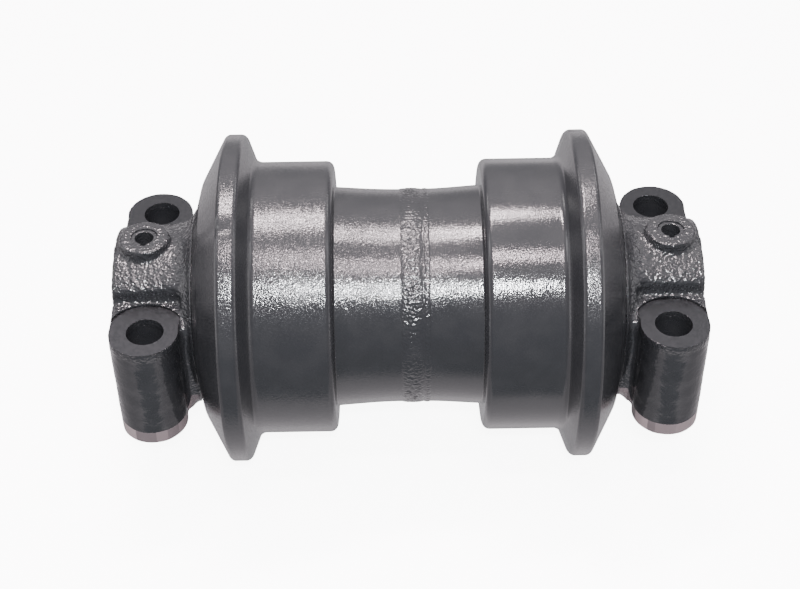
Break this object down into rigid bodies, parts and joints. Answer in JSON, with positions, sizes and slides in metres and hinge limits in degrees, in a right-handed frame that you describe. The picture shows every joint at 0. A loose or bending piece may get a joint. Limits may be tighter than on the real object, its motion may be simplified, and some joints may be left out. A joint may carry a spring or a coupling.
{
  "type": "track roller",
  "caption": "Crawler track roller: a flanged roller shell that turns on a fixed shaft, with a cast bolt-on collar and floating seals at each end.",
  "frame": {"origin": "on the shaft axis, midway between the collars' end faces", "axes": "+X along the shaft, +Z away from the machine's track frame, which the lug feet on the -Z side bolt to"},
  "size_m": [0.351, 0.2, 0.2],
  "materials": {
    "shell_paint": "satin charcoal paint over turned steel",
    "weld_paint": "satin charcoal paint over a rippled weld",
    "collar_paint": "satin charcoal paint over rough casting",
    "pin_steel": "spring steel, painted over",
    "shaft_steel": "ground steel",
    "bush_bronze": "bronze bearing metal",
    "seal_iron": "lapped hard iron",
    "seal_rubber": "black nitrile rubber",
    "o_ring_rubber": "black nitrile rubber",
    "plug_steel": "zinc plated steel",
    "washer_copper": "soft copper"
  },
  "bodies": {
    "axle": {"shaft": "shaft_steel", "oil_plug": "plug_steel", "plug_washer": "washer_copper", "collar_left": "collar_paint", "lock_pin_left": "pin_steel", "seal_ring_collar_left": "seal_iron", "toric_ring_collar_left": "seal_rubber", "shaft_o_ring_left": "o_ring_rubber", "collar_right": "collar_paint", "lock_pin_right": "pin_steel", "seal_ring_collar_right": "seal_iron", "toric_ring_collar_right": "seal_rubber", "shaft_o_ring_right": "o_ring_rubber"},
    "roller": {"centre_weld": "weld_paint", "roller_half_left": "shell_paint", "bush_left": "bush_bronze", "seal_ring_shell_left": "seal_iron", "toric_ring_shell_left": "seal_rubber", "roller_half_right": "shell_paint", "bush_right": "bush_bronze", "seal_ring_shell_right": "seal_iron", "toric_ring_shell_right": "seal_rubber"}
  },
  "joints": [
    {"name": "roller_spin", "type": "hinge", "parent": "axle", "child": "roller", "pos_m": [0, 0, 0], "axis": [1, 0, 0], "continuous": true}
  ]
}
